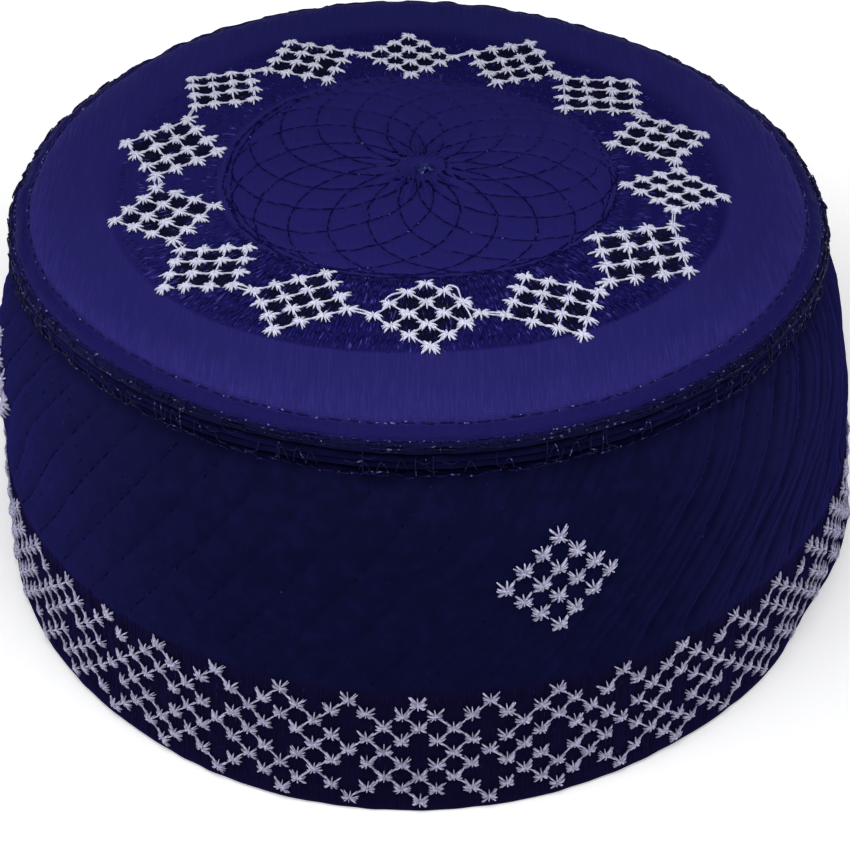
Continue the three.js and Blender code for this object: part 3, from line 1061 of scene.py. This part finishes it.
def ring_stars():
    """White lozenges round the top, with the threads between neighbours and the slack ones."""
    rng = np.random.default_rng(55)
    places, linked = lozenge_chart()
    half = RING_HALF / (LOZENGE_SIDE - 1)
    arms = RING_ARMS * half / 2
    bow = np.sin(math.pi * np.linspace(0, 1, 7))
    parts = []
    for index in range(RING_COUNT):
        heading = lozenge_place(index)[0]
        spots = places * half + rng.normal(0, 0.14, places.shape)
        bulk = 1.18 - 0.1 * math.cos(heading)
        chart = partial(on_ring, index)
        parts.append(stars(crown_flat, chart, *spots.T, arms, arms, linked, bulk, rng))
        for xs, ys in star_links(*spots.T, linked, half, half, 0.95, 0.1, rng):
            parts.append(laid(crown_flat, *chart(xs, ys), 0.3, 0.32, 0.28))
        begin = chart(RING_HALF, 0)
        end = on_ring((index + 1) % RING_COUNT, -RING_HALF, 0)
        steps = np.linspace(-0.3, 1.3, 7)
        for shift in (-0.36, 0.4):
            x = begin[0] + (end[0] - begin[0]) * steps + shift * bow * abs(math.sin(heading))
            y = begin[1] + (end[1] - begin[1]) * steps + shift * bow
            lifts = np.array((0.1, 0.3, 0.42, 0.45, 0.42, 0.3, 0.1))
            parts.append(laid(crown_flat, x[None], y[None], lifts, 0.3, 0.28))
    for points in SLACK_THREADS:
        x, y = on_ring(0, *rounded(np.array(points) * half, 13))
        lifts = 0.3 + 0.6 * np.sin(np.linspace(0, math.pi, 13))
        parts.append(laid(crown_flat, x[None], y[None], lifts, 0.3, 0.3))
    add_threads("ring_stars", parts, "white_thread")


def side_lozenges():
    """One white lozenge on each quarter of the side."""
    rng = np.random.default_rng(57)
    places, linked = lozenge_chart()
    millimetres = math.radians(1) * float(band_radius(np.array(SIDE_LOZENGE_HEIGHT)))
    pitch = np.array((SIDE_LOZENGE_COLUMN * millimetres, SIDE_LOZENGE_ROW))

    def chart(turn, x, y):
        return turn + x / millimetres, SIDE_LOZENGE_HEIGHT + y

    parts = []
    for turn in SIDE_LOZENGES:
        spots = places * pitch + rng.normal(0, 0.1, places.shape)
        parts.append(stars(side_at, partial(chart, turn), *spots.T, *pitch / 2, linked, 1, rng))
    add_threads("side_lozenges", parts, "white_thread_painted_shade")


# Seam

def seam_strip():
    """Folded seam allowance between the side and the top: two soft layers, one under the other."""
    columns = 448
    turns = np.arange(columns) * 360 / columns
    section = (
        # radius from the seam's outside, height over its bottom
        (-2.2, 0.15), (-0.9, 0.1), (-0.45, 0.4), (-0.3, 1.0), (-0.6, 1.6), (-0.95, 1.8),
        (-0.35, 2.0), (-0.05, 2.5), (-0.05, 3.1), (-0.4, 3.6), (-1.2, 3.8), (-2.4, 3.85),
    )
    rows = []
    for index, (out, up) in enumerate(section):
        crumple = ripple(turns, np.full(columns, index), 2, 2.5, 61)
        loose = ripple(turns, np.full(columns, index), 6, 6, 62)
        radius = seam_outer + out + 0.14 * crumple + 0.18 * loose
        rows.append(settle(radius, turns, seam_bottom + up + 0.12 * loose))
    piece = add_ring("seam_cloth", rows, "side_cotton")
    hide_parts("crown_seam")


def running_line(surface, level, radius, length, width, height, seed):
    """Stitches of one sewn line that runs round the cap."""
    rng = np.random.default_rng(seed)
    count = int(2 * math.pi * radius / length)
    begin = np.arange(count) + rng.uniform(-0.08, 0.08, count)
    long = rng.uniform(0.86, 1.0, count)
    steps = np.array((0, 0.3, 0.7, 1))
    turns = (begin[:, None] + long[:, None] * steps) * 360 / count
    wander = rng.normal(0, 0.16, (count, 1))
    levels = level + wander + rng.normal(0, 0.25, (count, 1)) * (steps - 0.5)
    lifts = np.array((-0.25, 0.1, 0.1, -0.25)) - rng.uniform(0, 0.15, (count, 1))
    return laid(surface, turns, levels, lifts, width * rng.uniform(0.8, 1.2, (count, 1)), height)


def topstitches():
    """Two sewn lines on the roll of the top, and one on the side below the seam."""
    top = running_line(crown_at, TOPSTITCH_ACROSS, 77.5, 3.1, 0.42, 0.34, 71)
    edge = running_line(crown_at, EDGESTITCH_ACROSS, 80.5, 2.4, 0.42, 0.34, 72)
    side = running_line(side_at, SIDESTITCH_HEIGHT, 80.0, 2.4, 0.42, 0.34, 73)
    add_threads("seam_stitches", (top, edge, side), "seam_thread")


# Bits of the overlock stitch: shares of a pitch along the seam and of its height, for three points
OVERLOCK_BITS = (
    ((0.0, 1.0), (0.05, 0.5), (0.0, 0.0)),
    ((0.0, 1.0), (0.1, 0.3), (0.9, 0.15)),
    ((0.0, 0.2), (0.5, 0.95), (0.9, 0.1)),
    ((0.0, 0.85), (0.6, 0.75), (1.3, 0.9)),
    ((0.0, 0.1), (0.7, 0.25), (1.2, 0.0)),
)
OVERLOCK_COUNT = 210
OVERLOCK_SHARE = 0.34


def overlock():
    """Uneven loops and bars of thread that bind the folded allowance."""
    rng = np.random.default_rng(75)
    pitch = 360 / OVERLOCK_COUNT
    steps = np.linspace(0, 2, 7)
    parts = [
        running_line(crown_at, EDGESTITCH_ACROSS + 1.3, crown_radius, 7.0, 0.28, 0.24, 76),
        running_line(crown_at, EDGESTITCH_ACROSS + 2.6, crown_radius, 9.0, 0.28, 0.24, 78),
    ]
    for points in OVERLOCK_BITS:
        chosen = np.flatnonzero(rng.uniform(0, 1, OVERLOCK_COUNT) < OVERLOCK_SHARE)
        count = (len(chosen), 1)
        flip = rng.choice((-1, 1), count)
        along, rise = rounded(points, len(steps))
        tall = rng.uniform(0.6, 1.25, count)
        turns = chosen[:, None] + rng.uniform(-0.4, 0.4, count) + flip * along
        heights = seam_bottom - 0.5 + (SEAM_HEIGHT + 0.9) * (rise * tall + 0.2 * (1 - tall))
        bulge = 0.3 + 0.3 * np.sin(math.pi * steps / 2) + rng.uniform(-0.1, 0.3, count)
        paths = settle(seam_outer + bulge, turns * pitch, heights)
        outer = settle(seam_outer + bulge + 1, turns * pitch, heights)
        parts.append(strands(paths, outer - paths, 0.24, 0.24, FREE))
        level = EDGESTITCH_ACROSS + 0.3 + 3.2 * (1 - rise * tall)
        shown = rng.uniform(0, 1, len(chosen)) < 0.6
        parts.append(laid(crown_at, (turns[shown] + 0.5) * pitch, level[shown], 0.1, 0.26, 0.26))
    add_threads("overlock_loops", parts, "overlock_thread")


def knot():
    """Turns of thread drawn into a small knot in the middle of the top."""
    rng = np.random.default_rng(77)
    middle = crown_flat(np.array(KNOT_MIDDLE[:1]), np.array(KNOT_MIDDLE[1:]), np.zeros(1))[0]
    steps = np.linspace(0, math.pi, 9)
    parts = []
    for index in range(KNOT_TURNS):
        heading = rng.uniform(0, math.pi)
        reach = rng.uniform(0.7, 1.0) * KNOT_REACH
        sideways = rng.uniform(-0.9, 0.9)
        along = -reach * np.cos(steps)
        beside = sideways * (0.6 + 0.4 * np.sin(steps))
        x = along * math.cos(heading) - beside * math.sin(heading)
        y = along * math.sin(heading) + beside * math.cos(heading)
        height = 0.15 + (KNOT_RISE * (0.6 + 0.4 * index / KNOT_TURNS) - 0.25 * abs(sideways)) * np.sin(steps)
        path = (np.stack((x, y, height), -1) + middle)[None]
        tilt = -0.4 * np.cos(steps)
        ups = np.stack((tilt * math.cos(heading), tilt * math.sin(heading), np.ones(len(steps))), -1)[None]
        parts.append(strands(path, ups, 0.46, 0.46, FREE))
    piece = add_threads("thread_knot", parts, "knot_thread")
    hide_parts("centre_knot")


side_cloth()
quilting()
border_fill()
border()
side_lozenges()
crown_cloth()
rosette()
ring_fill()
ring_stars()
seam_strip()
topstitches()
overlock()
knot()


# Floor, lights and camera

# The table's half size in metres, and its glow near the cap and further off, by the distance in
# millimetres from the middle of the dimmer part
FLOOR_SIZE = 40.0
FLOOR_GLOW = (0.42, 0.9)
FLOOR_GLOW_REACH = (170.0, 400.0)
FLOOR_DIM_Y = -120
WORLD_TONE = (0.92, 0.94, 1.0, 1.0)
WORLD_STRENGTH = 0.06


def stage():
    """A pale table that glows a little, more so away from the cap."""
    mesh = bpy.data.meshes.new("floor")
    corners = [(x * FLOOR_SIZE, y * FLOOR_SIZE, 0) for x, y in ((-1, -1), (1, -1), (1, 1), (-1, 1))]
    mesh.from_pydata(corners, [], [(0, 1, 2, 3)])
    nodes = Nodes("floor_white")
    nodes.set(Base_Color=(0.9, 0.9, 0.91), Roughness=1.0)
    away = nodes.vector("DISTANCE", nodes.position(), (0, FLOOR_DIM_Y, 0), output="Value")
    glow = nodes.span(away, *FLOOR_GLOW_REACH, *FLOOR_GLOW)
    nodes.set(Emission_Color=(1, 1, 1), Emission_Strength=glow)
    mesh.materials.append(nodes.material)
    floor = add_object("floor", mesh)


LIGHTS = (
    # name, place in metres, where it points, size, watts
    ("softbox", (-0.02, -0.14, 0.33), (0, -0.06, 0), 0.26, 0.81),
    ("overhead", (0, 0.1, 1.3), (0, 0, 0), 0.9, 0.4),
    ("left", (-1.0, -0.05, 0.13), (0, 0, 0.04), 0.25, 3.1),
    ("right", (1.0, -0.1, 0.13), (0, 0, 0.04), 0.25, 2.8),
)


def lights():
    """Soft lamps that the camera doesn't see, and a dim sky."""
    for name, place, target, size, watts in LIGHTS:
        lamp = bpy.data.lights.new(name, "AREA")
        lamp.shape = "DISK"
        lamp.size = size
        lamp.energy = watts
        holder = add_object(name, lamp)
        holder.location = place
        holder.rotation_euler = (Vector(place) - Vector(target)).to_track_quat("Z", "Y").to_euler()
        holder.visible_camera = False
    world = bpy.data.worlds.new("studio")
    world.use_nodes = True
    background = world.node_tree.nodes["Background"]
    background.inputs["Color"].default_value = WORLD_TONE
    background.inputs["Strength"].default_value = WORLD_STRENGTH
    bpy.context.scene.world = world


# The photograph's camera, fitted to the cap: distances from the cap's axis in millimetres
CAMERA_PLACE = (0.0, -304.27, 274.90)
CAMERA_FORWARD = (0.00295, 0.76254, -0.64693)
CAMERA_ROLL = -0.293
FOCAL_PIXELS = 1783.74
IMAGE_HEIGHT = 852
SENSOR = 36.0


def camera():
    """A camera at the photograph's place."""
    data = bpy.data.cameras.new("camera")
    data.sensor_fit = "VERTICAL"
    data.sensor_height = SENSOR
    data.lens = FOCAL_PIXELS * SENSOR / IMAGE_HEIGHT
    data.clip_start = 0.01
    holder = add_object("camera", data)
    place = Vector(CAMERA_PLACE) * MM + Vector(AXIS)
    look = Vector(CAMERA_FORWARD).to_track_quat("-Z", "Y").to_matrix().to_4x4()
    roll = Matrix.Rotation(math.radians(CAMERA_ROLL), 4, "Z")
    holder.matrix_world = Matrix.Translation(place) @ look @ roll
    bpy.context.scene.camera = holder


stage()
lights()
camera()
bpy.context.scene.view_settings.view_transform = "Standard"
